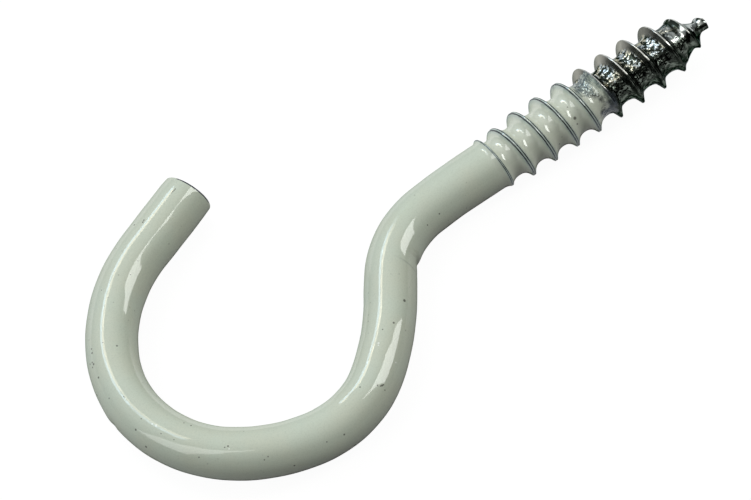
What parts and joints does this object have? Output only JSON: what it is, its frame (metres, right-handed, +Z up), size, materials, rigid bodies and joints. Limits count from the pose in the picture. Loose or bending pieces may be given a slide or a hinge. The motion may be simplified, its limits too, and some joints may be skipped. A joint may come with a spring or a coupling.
{
  "type": "screw hook",
  "caption": "Open hook bent from round wire, coated, with a bare wood-screw thread and a blunt point at its straight end.",
  "frame": {"origin": "centre of the bounding box in plan, on the surface that the hook lies on", "axes": "+X along the screw axis to the point, +Y to the side of the hook's mouth, +Z up from the surface it lies on"},
  "size_m": [0.06, 0.03, 0.0054],
  "materials": {
    "coated_wire": "glossy grey-white coating, bare zinc on the outer thread"
  },
  "bodies": {
    "root": {"screw_hook": "coated_wire"}
  },
  "joints": []
}
